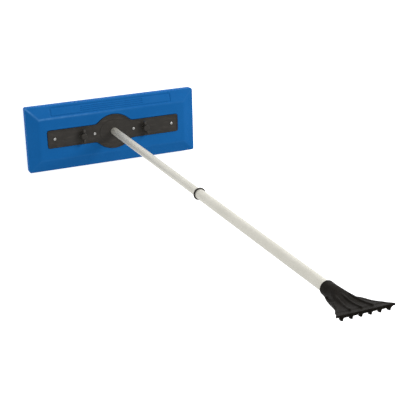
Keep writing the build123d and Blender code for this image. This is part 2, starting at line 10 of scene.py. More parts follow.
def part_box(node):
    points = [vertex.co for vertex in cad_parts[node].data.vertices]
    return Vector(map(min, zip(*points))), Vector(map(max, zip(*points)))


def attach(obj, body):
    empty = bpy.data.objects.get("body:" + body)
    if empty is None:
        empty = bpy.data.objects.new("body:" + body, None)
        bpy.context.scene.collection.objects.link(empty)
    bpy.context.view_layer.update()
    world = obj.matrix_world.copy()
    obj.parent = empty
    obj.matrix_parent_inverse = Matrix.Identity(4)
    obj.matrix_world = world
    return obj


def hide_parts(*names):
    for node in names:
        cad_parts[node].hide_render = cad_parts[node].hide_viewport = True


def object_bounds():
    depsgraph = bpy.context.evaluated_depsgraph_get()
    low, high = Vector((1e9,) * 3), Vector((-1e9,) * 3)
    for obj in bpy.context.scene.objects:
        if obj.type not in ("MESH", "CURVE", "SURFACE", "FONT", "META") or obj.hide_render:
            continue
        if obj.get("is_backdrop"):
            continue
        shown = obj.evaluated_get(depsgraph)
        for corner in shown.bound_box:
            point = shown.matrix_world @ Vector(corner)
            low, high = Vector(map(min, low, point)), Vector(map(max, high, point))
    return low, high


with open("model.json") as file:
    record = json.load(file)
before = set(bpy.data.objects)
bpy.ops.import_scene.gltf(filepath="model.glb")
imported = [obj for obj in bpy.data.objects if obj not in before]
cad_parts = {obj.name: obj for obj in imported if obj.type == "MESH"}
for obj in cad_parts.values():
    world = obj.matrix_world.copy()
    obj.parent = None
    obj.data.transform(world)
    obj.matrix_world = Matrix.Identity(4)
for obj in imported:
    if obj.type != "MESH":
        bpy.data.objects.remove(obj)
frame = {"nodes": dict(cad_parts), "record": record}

CAD_BOX = [list(corner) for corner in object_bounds()]

# ---- camera, floor, backdrop and light
CAMERA_PLACE = Vector((-0.8130, 0.7274, 2.4817))
CAMERA_TARGET = Vector((-0.0067, -0.0073, 0.6050))
CAMERA_UP = Vector((0.1558, 0.9407, -0.3013))
CAMERA_LENS_MM = 92.05
CAMERA_CLIP_END = 50.0
FLOOR_HALF_SIZE = 8.0
FLOOR_GAP = 0.0002
BACKDROP_R = 7.5
BACKDROP_TOP_ANGLE = 0.49 * math.pi
BACKDROP_ROWS = 12
BACKDROP_COLUMNS = 48
FLOOR_GLOW = 0.60
WORLD_LIGHT = 0.60
KEY_PLACE = (2.0, 1.5, 2.0)
KEY_SIZE = 1.2
KEY_WATTS = 60.0
FILL_PLACE = (-2.0, 0.6, 1.0)
FILL_SIZE = 1.0
FILL_WATTS = 5.0

# ---- foam head: the sizes of its CAD solid, and how far its edges are rounded
HEAD_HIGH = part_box("foam_head")[1]
HALF_LENGTH = HEAD_HIGH.x
HALF_DEPTH = HEAD_HIGH.y
HEAD_HEIGHT = HEAD_HIGH.z
BEVEL_MARGIN = 0.031
BEVEL_HEIGHT = 0.011
BEVEL_SLOPE = BEVEL_HEIGHT / BEVEL_MARGIN
RIM_Z = HEAD_HEIGHT - BEVEL_HEIGHT
CORNER_R = 0.0050
RIM_EDGE_R = 0.003
FACE_EDGE_R = 0.005
PLATEAU_EDGE_SOFTNESS = 0.0008

# ---- back plate, the sizes of its CAD solid
ARM_HALF_DEPTH = 0.0230
DISC_HALF_LENGTH = 0.053


# ---- node helpers
def add(tree, kind, inputs=None, **settings):
    """A new shader node. An input given a socket is linked to it, and any other value is set."""
    made = tree.nodes.new(f"ShaderNode{kind}")
    for name, value in settings.items():
        setattr(made, name, value)
    for name, value in (inputs or {}).items():
        if isinstance(value, bpy.types.NodeSocket):
            tree.links.new(value, made.inputs[name])
        else:
            made.inputs[name].default_value = value
    return made


def new_material(name, **finish):
    """A material, its node tree and its shader, with even values set on the shader's sockets."""
    made = bpy.data.materials.new(name)
    made.use_nodes = True
    shader = made.node_tree.nodes["Principled BSDF"]
    for socket, value in finish.items():
        shader.inputs[socket.replace("_", " ").title().replace("Ior", "IOR")].default_value = value
    return made, made.node_tree, shader


def grain(tree, size, stretch=(1.0, 1.0, 1.0), detail=3.0, roughness=0.5):
    """Noise whose features are about size metres wide, and stretch times longer along each axis."""
    place = add(tree, "TexCoord").outputs["Object"]
    scale = [1.0 / (size * along) for along in stretch]
    scaled = add(tree, "Mapping", {"Vector": place, "Scale": scale}).outputs["Vector"]
    wanted = {"Vector": scaled, "Scale": 1.0, "Detail": detail, "Roughness": roughness}
    return add(tree, "TexNoise", wanted).outputs["Fac"]


def cells(tree, size, feature="SMOOTH_F1"):
    """Closed foam cells or hammered pebbles of about size metres."""
    place = add(tree, "TexCoord").outputs["Object"]
    wanted = {"Vector": place, "Scale": 1.0 / size}
    return add(tree, "TexVoronoi", wanted, feature=feature).outputs["Distance"]


def remap(tree, value, low, high, start=0.3, end=0.7):
    """value from start to end brought to low to high, and held there beyond."""
    wanted = {"Value": value, "From Min": start, "From Max": end, "To Min": low, "To Max": high}
    return add(tree, "MapRange", wanted).outputs["Result"]


def times(tree, first, second):
    """Product of two values."""
    made = add(tree, "Math", operation="MULTIPLY")
    for socket, value in zip(made.inputs, (first, second)):
        if isinstance(value, bpy.types.NodeSocket):
            tree.links.new(value, socket)
        else:
            socket.default_value = value
    return made.outputs["Value"]


def mixed(tree, share, first, second):
    """Colour between first and second, by share."""
    made = add(tree, "Mix", data_type="RGBA")
    sockets = {socket.identifier: socket for socket in made.inputs}
    factor, start, end = (sockets[name] for name in ("Factor_Float", "A_Color", "B_Color"))
    tree.links.new(share, factor)
    for socket, colour in ((start, first), (end, second)):
        if isinstance(colour, bpy.types.NodeSocket):
            tree.links.new(colour, socket)
        else:
            socket.default_value = (*colour, 1.0)
    return next(socket for socket in made.outputs if socket.identifier == "Result_Color")


def raise_bumps(tree, shader, *layers):
    """Bump layers on the shader, each a height socket and its depth in metres."""
    normal = None
    for height, depth in layers:
        bump = add(tree, "Bump", {"Height": height, "Distance": depth})
        if normal is not None:
            tree.links.new(normal, bump.inputs["Normal"])
        normal = bump.outputs["Normal"]
    tree.links.new(normal, shader.inputs["Normal"])


def finish_with(tree, shader, colour, roughness, *layers):
    """Links a colour, a roughness and the bump layers to the shader."""
    tree.links.new(colour, shader.inputs["Base Color"])
    tree.links.new(roughness, shader.inputs["Roughness"])
    raise_bumps(tree, shader, *layers)


# ---- materials, their colours in linear RGB
FOAM_DEEP_BLUE = (0.0035, 0.104, 0.335)
FOAM_BRIGHT_BLUE = (0.0080, 0.122, 0.372)
FOAM_STREAK_BLUE = (0.0045, 0.097, 0.305)
FOAM_SPECKLE_BLUE = (0.0055, 0.119, 0.375)
# The paler blue below is a painted highlight for the back's edges.
FOAM_HIGHLIGHT_BLUE = (0.075, 0.240, 0.540)
SCUFF_PALENESS = 2.2
TUBE_DARK = (0.50, 0.485, 0.425)
TUBE_LIGHT = (0.55, 0.535, 0.475)
TUBE_DIE_LINE = (0.455, 0.445, 0.40)
TUBE_NICK = (0.42, 0.415, 0.39)
NYLON_DARK = (0.74, 0.72, 0.63)
NYLON_LIGHT = (0.82, 0.80, 0.73)
FLOOR_DARK = (0.94, 0.94, 0.94)
FLOOR_LIGHT = (0.95, 0.95, 0.95)
WHITE = (1.0, 1.0, 1.0, 1.0)


def foam_material():
    """Moulded blue closed-cell foam: pebbled skin, faint flow streaks, and back edges made paler by a
    painted highlight.
    """
    made, tree, shader = new_material("blue_foam", specular_ior_level=0.07)
    patches = remap(tree, grain(tree, size=0.06, detail=2.0), low=0.0, high=1.0)
    streaks = remap(tree, grain(tree, size=0.002, stretch=(25.0, 1.0, 1.0)), low=0.0, high=0.5)
    speckle = remap(tree, grain(tree, size=0.0011, detail=4.0), low=0.0, high=0.6)
    colour = mixed(tree, patches, FOAM_DEEP_BLUE, FOAM_BRIGHT_BLUE)
    colour = mixed(tree, streaks, colour, FOAM_STREAK_BLUE)
    colour = mixed(tree, speckle, colour, FOAM_SPECKLE_BLUE)
    # Painted highlight: paler blue along the back's edges, where light catches the rounded rims.
    painted_highlight = add(tree, "Attribute", attribute_name="painted_highlight").outputs["Fac"]
    patchiness = remap(tree, grain(tree, size=0.012, detail=5.0), low=0.35, high=1.0)
    patchy_highlight = times(tree, painted_highlight, patchiness)
    colour = mixed(tree, patchy_highlight, colour, FOAM_HIGHLIGHT_BLUE)
    roughness = remap(tree, grain(tree, size=0.02), low=0.55, high=0.70)
    finish_with(
        tree, shader, colour, roughness,
        (grain(tree, size=0.0045, detail=3.0), 0.0004),
        (cells(tree, size=0.0013), 0.00018),
    )
    return made


def moulded_plastic(name, dark, light, shine, scuff_size=0.02, pebble=0.0007, gloss=0.42):
    """Moulded plastic: fine spark-eroded texture, cloudy gloss and hairline scuffs.

    shine is its lowest and highest roughness, and gloss its specular level.
    """
    made, tree, shader = new_material(name, specular_ior_level=gloss)
    clouds = remap(tree, grain(tree, size=scuff_size, detail=4.0), low=0.0, high=1.0)
    hairlines = grain(tree, size=0.0012, stretch=(18.0, 3.0, 18.0), detail=4.0)
    scuffs = remap(tree, hairlines, low=0.0, high=0.55, start=0.56, end=0.75)
    colour = mixed(tree, clouds, dark, light)
    pale = tuple(SCUFF_PALENESS * channel for channel in light)
    colour = mixed(tree, scuffs, colour, pale)
    roughness = remap(tree, grain(tree, size=scuff_size / 2, detail=3.0), *shine)
    finish_with(
        tree, shader, colour, roughness,
        (grain(tree, size=pebble, detail=2.0), 0.00006),
        (scuffs, 0.00004),
    )
    return made


def tube_material():
    """Drawn aluminium with a clear satin skin: lengthwise die lines, smudges and small nicks."""
    made, tree, shader = new_material("drawn_aluminium", metallic=0.35, specular_ior_level=0.35)
    die_lines = grain(tree, size=0.0006, stretch=(1.0, 1.0, 160.0), detail=4.0, roughness=0.65)
    blotches = grain(tree, size=0.03, stretch=(1.0, 1.0, 2.0), detail=4.0)
    smudges = remap(tree, blotches, low=0.0, high=1.0)
    spots = grain(tree, size=0.0012, stretch=(1.0, 1.0, 4.0))
    nicks = remap(tree, spots, low=0.0, high=1.0, start=0.74, end=0.80)
    colour = mixed(tree, smudges, TUBE_DARK, TUBE_LIGHT)
    colour = mixed(tree, remap(tree, die_lines, low=0.0, high=0.5), colour, TUBE_DIE_LINE)
    colour = mixed(tree, nicks, colour, TUBE_NICK)
    roughness = remap(tree, die_lines, low=0.40, high=0.52)
    finish_with(
        tree, shader, colour, roughness,
        (die_lines, 0.00003),
        (nicks, 0.00006),
    )
    return made


def metal_material(name, dull, bright, shine):
    """Plated or turned metal: crystalline mottling and faint machining marks.

    shine is its lowest and highest roughness.
    """
    made, tree, shader = new_material(name, metallic=1.0)
    mottle = remap(tree, grain(tree, size=0.0015, detail=4.0), low=0.0, high=1.0)
    marks = grain(tree, size=0.0003, stretch=(6.0, 6.0, 1.0), detail=2.0)
    colour = mixed(tree, mottle, dull, bright)
    roughness = remap(tree, grain(tree, size=0.004), *shine)
    finish_with(tree, shader, colour, roughness, (marks, 0.00002))
    return made


def nylon_material():
    """Natural nylon: waxy, slightly cloudy, with light tool marks."""
    translucency = {"subsurface_weight": 0.15, "subsurface_scale": 0.002}
    made, tree, shader = new_material("natural_nylon", **translucency)
    clouds = remap(tree, grain(tree, size=0.008, detail=3.0), low=0.0, high=1.0)
    colour = mixed(tree, clouds, NYLON_DARK, NYLON_LIGHT)
    roughness = remap(tree, grain(tree, size=0.003), low=0.38, high=0.5)
    finish_with(tree, shader, colour, roughness, (grain(tree, size=0.0006), 0.00003))
    return made


def floor_material():
    """Plain pale studio floor, lit a little from below like a light table."""
    finish = {"specular_ior_level": 0.0, "emission_strength": FLOOR_GLOW}
    made, tree, shader = new_material("pale_floor", **finish)
    shader.inputs["Emission Color"].default_value = WHITE
    colour = mixed(tree, grain(tree, size=0.5), FLOOR_DARK, FLOOR_LIGHT)
    roughness = remap(tree, grain(tree, size=0.1), low=0.85, high=0.9)
    finish_with(tree, shader, colour, roughness, (grain(tree, size=0.02), 0.00001))
    return made


SLOT_MATERIALS = {
    "foam": foam_material(),
    "black_plastic": moulded_plastic(
        "black_plate_plastic",
        dark=(0.0175, 0.0145, 0.0110),
        light=(0.0255, 0.0220, 0.0180),
        shine=(0.46, 0.58),
    ),
    "scraper_plastic": moulded_plastic(
        "black_scraper_plastic",
        dark=(0.0066, 0.0052, 0.0038),
        light=(0.0096, 0.0080, 0.0062),
        shine=(0.50, 0.62),
        scuff_size=0.012,
        pebble=0.0005,
        gloss=0.035,
    ),
    "frame_plastic": moulded_plastic(
        "grey_frame_plastic",
        dark=(0.045, 0.045, 0.045),
        light=(0.065, 0.065, 0.063),
        shine=(0.5, 0.6),
    ),
    "tube_aluminium": tube_material(),
    "zinc_steel": metal_material(
        "zinc_steel", dull=(0.58, 0.58, 0.56), bright=(0.74, 0.74, 0.72), shine=(0.26, 0.40)
    ),
    "insert_brass": metal_material(
        "turned_brass", dull=(0.62, 0.42, 0.16), bright=(0.78, 0.56, 0.25), shine=(0.22, 0.34)
    ),
    "nylon": nylon_material(),
}


# ---- the foam head's own shape
def rounded_depth(x, y):
    """How far a point of the plan lies inside the head's outline, which has rounded corners."""
    from_side = HALF_LENGTH - np.abs(x)
    from_edge = HALF_DEPTH - np.abs(y)
    apart = from_side - from_edge
    in_corner = np.sqrt(np.maximum(2 * CORNER_R**2 - apart**2, 0.0))
    corner = (from_side + from_edge - 2 * CORNER_R + in_corner) / 2
    return np.where(np.abs(apart) < CORNER_R, corner, np.minimum(from_side, from_edge))


def soft_min(first, second, softness):
    """The smaller of two values, with the crease between them rounded off."""
    share = np.clip(0.5 + 0.5 * (second - first) / softness, 0.0, 1.0)
    return second * (1 - share) + first * share - softness * share * (1 - share)


def smooth_step(value, start, end):
    """0 up to start, 1 from end on, and an S-curve between them."""
    share = np.clip((value - start) / (end - start), 0.0, 1.0)
    return share * share * (3 - 2 * share)


def rounded_box_distance(x, y, centre, half_size, radius):
    """Signed distance from a rounded rectangle's border in the plan, negative inside."""
    past_x = np.abs(x - centre[0]) - half_size[0] + radius
    past_y = np.abs(y - centre[1]) - half_size[1] + radius
    outside = np.hypot(np.maximum(past_x, 0.0), np.maximum(past_y, 0.0))
    return outside + np.minimum(np.maximum(past_x, past_y), 0.0) - radius


# ---- details of the foam head, metres in the frame
PANEL_CENTRE = (-0.002, HALF_DEPTH - 0.0165)
PANEL_HALF_SIZE = (0.163, 0.0100)
PANEL_CORNER_R = 0.003
PANEL_GROOVE_DEPTH = 0.0016
PANEL_GROOVE_WIDTH = 0.0014
BAR_HALF_LENGTH = 0.085
BAR_HALF_WIDTH = 0.0011
BAR_OFFSETS = (-0.0048, 0.0, 0.0048)
BAR_DEPTH = 0.0015
BAR_WALL_START = -0.0006
BAR_WALL_END = 0.0005
SEAT_DEPTH = 0.0024
SEAT_WALL_START = -0.0002
SEAT_WALL_END = 0.0016
SEAT_LIP_HEIGHT = 0.0005
SEAT_LIP_WIDTH = 0.0026
PLATE_CORNER_R = 0.005
PLATE_NECK_BLEND = 0.0073
PARTING_Z = 0.0135
PARTING_HEIGHT = 0.0004
PARTING_WIDTH = 0.0004
PARTING_REACH = 0.0011
SIDE_BOW = 0.0006
WAVE_HEIGHT = 0.00025
# Two waves along x and y make the foamed surfaces uneven, in radians per metre.
PLAIN_WAVE = (61.0, 83.0)
SLANTED_WAVE = (37.0, 95.0)
WAVE_PHASES = (1.3, 0.4, 0.8)
BACK_WAVE_FADE = (0.002, 0.02)
FACE_WAVE_FADE = (0.006, 0.03)
# Steps of the height map's grid: open ground, the bevel, the seat, the corners and edges.
OPEN_STEP = 0.0026
BEVEL_STEP = 0.0009
SEAT_STEP = 0.0011
CORNER_STEP = 0.0009
EDGE_STEP = 0.0008
BAND_REACH = 0.0025
TINY = 1e-9
MIN_CORNER_R = 0.001
RIM_EDGE_POINTS = 6
SIDE_POINTS = 8
FACE_EDGE_POINTS = 7


def plate_distance(x, y):
    """Signed distance in the plan from the back plate's border, negative under the plate."""
    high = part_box("back_plate")[1]
    arms = rounded_box_distance(x, y, (0.0, 0.0), (high.x, ARM_HALF_DEPTH), PLATE_CORNER_R)
    around = np.hypot(x / DISC_HALF_LENGTH, y / high.y) - 1.0
    disc = around * min(DISC_HALF_LENGTH, high.y)
    return soft_min(arms, disc, PLATE_NECK_BLEND)


def waves(x, y):
    """Slow unevenness of a foamed surface, between -1 and 1."""
    first = np.sin(PLAIN_WAVE[0] * x + WAVE_PHASES[0]) * np.cos(PLAIN_WAVE[1] * y - WAVE_PHASES[1])
    second = np.sin(SLANTED_WAVE[0] * x - SLANTED_WAVE[1] * y + WAVE_PHASES[2])
    return 0.5 * (first + second)


def back_height(x, y):
    """Height of the head's back: bevels, flat top, moulded panel and the plate's seat."""
    depth = rounded_depth(x, y)
    rise = soft_min(BEVEL_SLOPE * depth, np.full_like(depth, BEVEL_HEIGHT), PLATEAU_EDGE_SOFTNESS)
    height = RIM_Z + rise + WAVE_HEIGHT * waves(x, y) * smooth_step(depth, *BACK_WAVE_FADE)
    groove = rounded_box_distance(x, y, PANEL_CENTRE, PANEL_HALF_SIZE, PANEL_CORNER_R)
    height -= PANEL_GROOVE_DEPTH * np.exp(-((groove / PANEL_GROOVE_WIDTH) ** 2))
    for offset in BAR_OFFSETS:
        centre = (PANEL_CENTRE[0], PANEL_CENTRE[1] + offset)
        size = (BAR_HALF_LENGTH, BAR_HALF_WIDTH)
        bar = rounded_box_distance(x, y, centre, size, BAR_HALF_WIDTH)
        height -= BAR_DEPTH * (1 - smooth_step(bar, BAR_WALL_START, BAR_WALL_END))
    plate = plate_distance(x, y)
    height -= SEAT_DEPTH * (1 - smooth_step(plate, SEAT_WALL_START, SEAT_WALL_END))
    lip = (plate - SEAT_WALL_END) / SEAT_LIP_WIDTH
    return height + SEAT_LIP_HEIGHT * np.exp(-(lip**2)) * smooth_step(plate, 0.0, SEAT_WALL_END)


def grid_lines(half_size, inset, step, fine_bands):
    """Places of grid lines from -1 to 1 of a side, closer together at its ends and in the bands."""
    reach = half_size - inset
    place, lines = -reach, []
    while place < reach - TINY:
        lines.append(place)
        steps = [fine_step for low, high, fine_step in fine_bands if low <= place < high]
        if reach - abs(place) < 2 * CORNER_R:
            steps.append(CORNER_STEP)
        place += min([step, *steps])
    return np.array([*lines, reach]) / reach


def outline_points(across, along, inset):
    """The grid's points in the plan, its border moved in by inset, with the corners rounded."""
    x, y = np.meshgrid(across * (HALF_LENGTH - inset), along * (HALF_DEPTH - inset), indexing="ij")
    radius = max(CORNER_R - inset, MIN_CORNER_R)
    u = np.clip((np.abs(x) - (HALF_LENGTH - inset - radius)) / radius, 0.0, 1.0)
    v = np.clip((np.abs(y) - (HALF_DEPTH - inset - radius)) / radius, 0.0, 1.0)
    corner = (u > 0) & (v > 0)
    round_x = np.sign(x) * (HALF_LENGTH - inset - radius + radius * u * np.sqrt(1 - v * v / 2))
    round_y = np.sign(y) * (HALF_DEPTH - inset - radius + radius * v * np.sqrt(1 - u * u / 2))
    return np.where(corner, round_x, x), np.where(corner, round_y, y)


def border_of(grid):
    """The values along a grid's border, once round."""
    return np.concatenate([grid[:-1, 0], grid[-1, :-1], grid[:0:-1, -1], grid[0, :0:-1]])


def side_profile():
    """Pairs of inset and height down the head's side, from the bevel's edge to the working face."""
    tilt = math.atan(BEVEL_SLOPE)
    edge_z = RIM_Z + RIM_EDGE_R * BEVEL_SLOPE - RIM_EDGE_R / math.cos(tilt)
    pairs = []
    for turn in np.linspace(tilt, math.pi / 2, RIM_EDGE_POINTS)[1:]:
        pairs.append((RIM_EDGE_R * (1 - math.sin(turn)), edge_z + RIM_EDGE_R * math.cos(turn)))
    offsets = (PARTING_REACH, PARTING_WIDTH, 0.0, -PARTING_WIDTH, -PARTING_REACH)
    seam = [PARTING_Z + offset for offset in offsets]
    for z in sorted((*np.linspace(edge_z, FACE_EDGE_R, SIDE_POINTS)[1:-1], *seam), reverse=True):
        middle = (z - FACE_EDGE_R) / (edge_z - FACE_EDGE_R)
        bow = SIDE_BOW * (1 - math.sin(math.pi * middle))
        ridge = PARTING_HEIGHT * math.exp(-(((z - PARTING_Z) / PARTING_WIDTH) ** 2))
        pairs.append((bow + PARTING_HEIGHT - ridge, z))
    for turn in np.linspace(0.0, math.pi / 2, FACE_EDGE_POINTS):
        inset = FACE_EDGE_R * (1 - math.cos(turn))
        pairs.append((max(inset, SIDE_BOW * (1 - turn)), FACE_EDGE_R * (1 - math.sin(turn))))
    return pairs


def grid_faces(index, upward):
    """Four-sided faces between neighbours in a grid of vertex numbers, facing up or down."""
    second, fourth = index[1:, :-1], index[:-1, 1:]
    if not upward:
        second, fourth = fourth, second
    corners = [index[:-1, :-1], second, index[1:, 1:], fourth]
    return np.stack([corner.ravel() for corner in corners], axis=1)


def band_faces(upper, lower):
    """Faces between two closed loops of vertices."""
    return np.stack([upper, lower, np.roll(lower, -1), np.roll(upper, -1)], axis=1)


def make_foam():
    """The moulded foam block: its back as a height map, a rounded side and the working face."""
    top_inset = RIM_EDGE_R * (1 - math.sin(math.atan(BEVEL_SLOPE)))
    seat_low, seat_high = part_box("back_plate")
    ends = [PANEL_CENTRE[0] + side * PANEL_HALF_SIZE[0] for side in (-1, 1)]
    ends += [PANEL_CENTRE[0] + side * BAR_HALF_LENGTH for side in (-1, 1)]
    ends += [seat_low.x, seat_high.x]
    across_bands = [(place - BAND_REACH, place + BAND_REACH, EDGE_STEP) for place in ends]
    across_bands.append((-DISC_HALF_LENGTH - BAND_REACH, DISC_HALF_LENGTH + BAND_REACH, SEAT_STEP))
    across = grid_lines(HALF_LENGTH, top_inset, OPEN_STEP, across_bands)
    along_bands = [(HALF_DEPTH - BEVEL_MARGIN - BAND_REACH, HALF_DEPTH, BEVEL_STEP)]
    for side in (-1, 1):
        edge = side * ARM_HALF_DEPTH
        along_bands.append((edge - BAND_REACH, edge + BAND_REACH, EDGE_STEP))
        disc_span = sorted((edge, side * (seat_high.y + BAND_REACH)))
        along_bands.append((*disc_span, SEAT_STEP))
    along = grid_lines(HALF_DEPTH, top_inset, OPEN_STEP, along_bands)
    rows, columns = len(across), len(along)

    x, y = outline_points(across, along, top_inset)
    points = [np.stack([x, y, back_height(x, y)], axis=-1).reshape(-1, 3)]
    index = np.arange(rows * columns).reshape(rows, columns)
    faces = [grid_faces(index, upward=True)]
    loop, count = border_of(index), rows * columns
    for inset, z in side_profile():
        ring_x, ring_y = (border_of(part) for part in outline_points(across, along, inset))
        points.append(np.stack([ring_x, ring_y, np.full_like(ring_x, z)], axis=-1))
        below = count + np.arange(len(ring_x))
        faces.append(band_faces(loop, below))
        loop, count = below, count + len(ring_x)

    x, y = outline_points(across, along, FACE_EDGE_R)
    hollow = -WAVE_HEIGHT * (waves(x, y) - 1.0) * smooth_step(rounded_depth(x, y), *FACE_WAVE_FADE)
    face_points = np.stack([x, y, hollow], axis=-1)
    points.append(face_points[1:-1, 1:-1].reshape(-1, 3))
    # The working face's grid has new vertices inside, and the last ring as its border.
    inner_shape = (rows - 2, columns - 2)
    face_index = np.empty((rows, columns), int)
    face_index[1:-1, 1:-1] = count + np.arange(math.prod(inner_shape)).reshape(inner_shape)
    face_index[:-1, 0], rest = loop[: rows - 1], loop[rows - 1 :]
    face_index[-1, :-1], rest = rest[: columns - 1], rest[columns - 1 :]
    face_index[:0:-1, -1], rest = rest[: rows - 1], rest[rows - 1 :]
    face_index[0, :0:-1] = rest
    faces.append(grid_faces(face_index, upward=False))

    foam = mesh_piece("foam_block", np.concatenate(points), np.concatenate(faces))
    # Painted highlight along the back's edges, kept as a point attribute.
    paint_edge_highlight(foam)
    return foam


def mesh_piece(name, points, faces):
    """A smooth-shaded mesh object from arrays of points and faces."""
    mesh = bpy.data.meshes.new(name)
    mesh.from_pydata(points.tolist(), [], faces.tolist())
    mesh.update()
    for polygon in mesh.polygons:
        polygon.use_smooth = True
    made = bpy.data.objects.new(name, mesh)
    bpy.context.scene.collection.objects.link(made)
    return made


# ---- painted highlight along the foam's back edges, brightest at the top edge's left part
HIGHLIGHT_BELOW_RIM = 0.006
PLATEAU_HIGHLIGHT_WIDTH = 0.0020
MITRE_HIGHLIGHT_WIDTH = 0.0028
LONG_EDGE_BLEND = 0.001
BRIGHTEST_ACROSS = (-0.02, 0.04)
BRIGHTEST_ALONG = (-0.20, 0.08)
FAINT_HIGHLIGHT = 0.10
BRIGHT_HIGHLIGHT = 0.80


def paint_edge_highlight(foam):
    """Stores, for each point of the foam, how much painted highlight it gets along the back's edges.
    """
    place = np.array([vertex.co for vertex in foam.data.vertices])
    x, y = place[:, 0], place[:, 1]
    depth = rounded_depth(x, y)
    on_back = smooth_step(place[:, 2], RIM_Z - HIGHLIGHT_BELOW_RIM, RIM_Z)
    plateau_edge = np.exp(-(((depth - BEVEL_MARGIN) / PLATEAU_HIGHLIGHT_WIDTH) ** 2))
    from_mitre = HALF_LENGTH - np.abs(x) - HALF_DEPTH + np.abs(y)
    mitre_edge = np.exp(-((np.abs(from_mitre) / MITRE_HIGHLIGHT_WIDTH) ** 2)) * (depth < BEVEL_MARGIN)
    on_long_edge = smooth_step(from_mitre, -LONG_EDGE_BLEND, LONG_EDGE_BLEND)
    # The painted highlight is brightest at the top edge's left part and fades to the right.
    brightest = smooth_step(y, *BRIGHTEST_ACROSS) * (1 - smooth_step(x, *BRIGHTEST_ALONG))
    highlight_strength = (FAINT_HIGHLIGHT + BRIGHT_HIGHLIGHT * brightest) * np.maximum(on_long_edge * plateau_edge, mitre_edge)
    painted_highlight = on_back * highlight_strength
    attribute = foam.data.attributes.new("painted_highlight", "FLOAT", "POINT")
    attribute.data.foreach_set("value", painted_highlight.astype(np.float32))


# ---- the ice scraper's own shape, close to its CAD solid
BLADE_TILT = math.radians(10.0)
BLADE_EDGE_Y = 0.0114
TOOTH_DROP = 0.0092
TOOTH_REACH = 0.0098
SCRAPER_END_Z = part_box("ice_scraper")[1].z
BLADE_EDGE_Z = SCRAPER_END_Z - TOOTH_DROP * math.sin(BLADE_TILT)
# The blade's half width, at places along it back from its edge.
FLARE_ALONG = (-0.122, -0.112, -0.100, -0.084, -0.066, -0.050, -0.036, -0.024, -0.012, 0.0)
FLARE_HALF_WIDTH = (0.0075, 0.0110, 0.0165, 0.0215, 0.0258, 0.0288, 0.0335, 0.0400, 0.0477, 0.0554)
FLARE_DEGREE = 6
FLARE = np.polynomial.Polynomial.fit(FLARE_ALONG, FLARE_HALF_WIDTH, FLARE_DEGREE)
BLADE_THICKNESS = 0.0024
BLADE_CORNER_R = 0.0015
BLADE_EDGE_R = 0.0007
SKIRT_WIDTH = 0.0026
SKIRT_FRONT_LOW = -0.0034
SKIRT_LOW = -0.0078
# Distances back from the blade's edge over which the skirt deepens, and then fades.
SKIRT_DEEPENS = (0.0, 0.028)
SKIRT_FADES = (0.035, 0.085)
SKIRT_EDGE_R = 0.0009
SKIRT_END_R = 0.0020
SKIRT_BLEND = 0.001
RIM_HIGH = 0.0010
COMB_THICKNESS = 0.0032
COMB_LOW = -0.0050
COMB_HIGH = 0.0005
COMB_CORNER_DEPTH = 0.0006
COMB_CORNER_R = 0.0015
COMB_EDGE_R = 0.0008
COMB_BLEND = 0.0008
CORNER_START = 0.0465
TEETH = 6
TOOTH_PITCH = 0.0176
TOOTH_TIP_HALF = 0.0018
TOOTH_SPREAD = 0.07
TOOTH_THICKNESS = 0.0080
TOOTH_ROOT = -0.001
TOOTH_EDGE_R = 0.0008
TOOTH_SIDE_R = 0.0010
TOOTH_BLEND = 0.0030
COLLAR_R = 0.014
COLLAR_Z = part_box("ice_scraper")[0].z
COLLAR_RIM_R = 0.0012
SOCKET_R = 0.0113
SOCKET_END_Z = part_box("outer_tube")[1].z
HUMP_START_Z = 1.140
HUMP_END_Z = 1.226
HUMP_SPREAD = 0.015
HUMP_SINK = 0.001
HUMP_MIN_HALF_HEIGHT = 0.0007
HUMP_UNDERSIDE_SHARE = 0.55
ROUND_POWER = 2.0
HUMP_BOXINESS = 1.2
HUMP_BOXY_SHARE = 0.4
HUMP_BLEND = 0.005
HUMP_BLEND_SHARE = 0.3
COLLAR_BLEND = 0.0005
RIDGE_ROOT_X = 0.012
RIDGE_TIP_X = 0.0213
RIDGE_START = -0.078
RIDGE_END = -0.011
RIDGE_HEIGHT = 0.0026
RIDGE_TOP_HALF = 0.0010
RIDGE_FOOT_HALF = 0.0031
RIDGE_ROOT_FADE = 0.025
RIDGE_TIP_FADE = 0.004
RIDGE_BELOW_FACE = 0.001
SCREW_SINK_R = 0.0037
SCREW_SINK_Y = -0.0124
SCREW_FROM_SOCKET_END = 0.005
SCREW_Z = SOCKET_END_Z - SCREW_FROM_SOCKET_END
SCRAPER_STEP = 0.0007


def between(value, low, high):
    """Signed distance from the gap between low and high, negative inside."""
    return np.abs(value - (low + high) / 2) - (high - low) / 2


def round_both(first, second, radius):
    """Signed distance from what lies in both shapes, their common edge rounded."""
    outside = np.hypot(np.maximum(first + radius, 0.0), np.maximum(second + radius, 0.0))
    return outside + np.minimum(np.maximum(first, second) + radius, 0.0) - radius


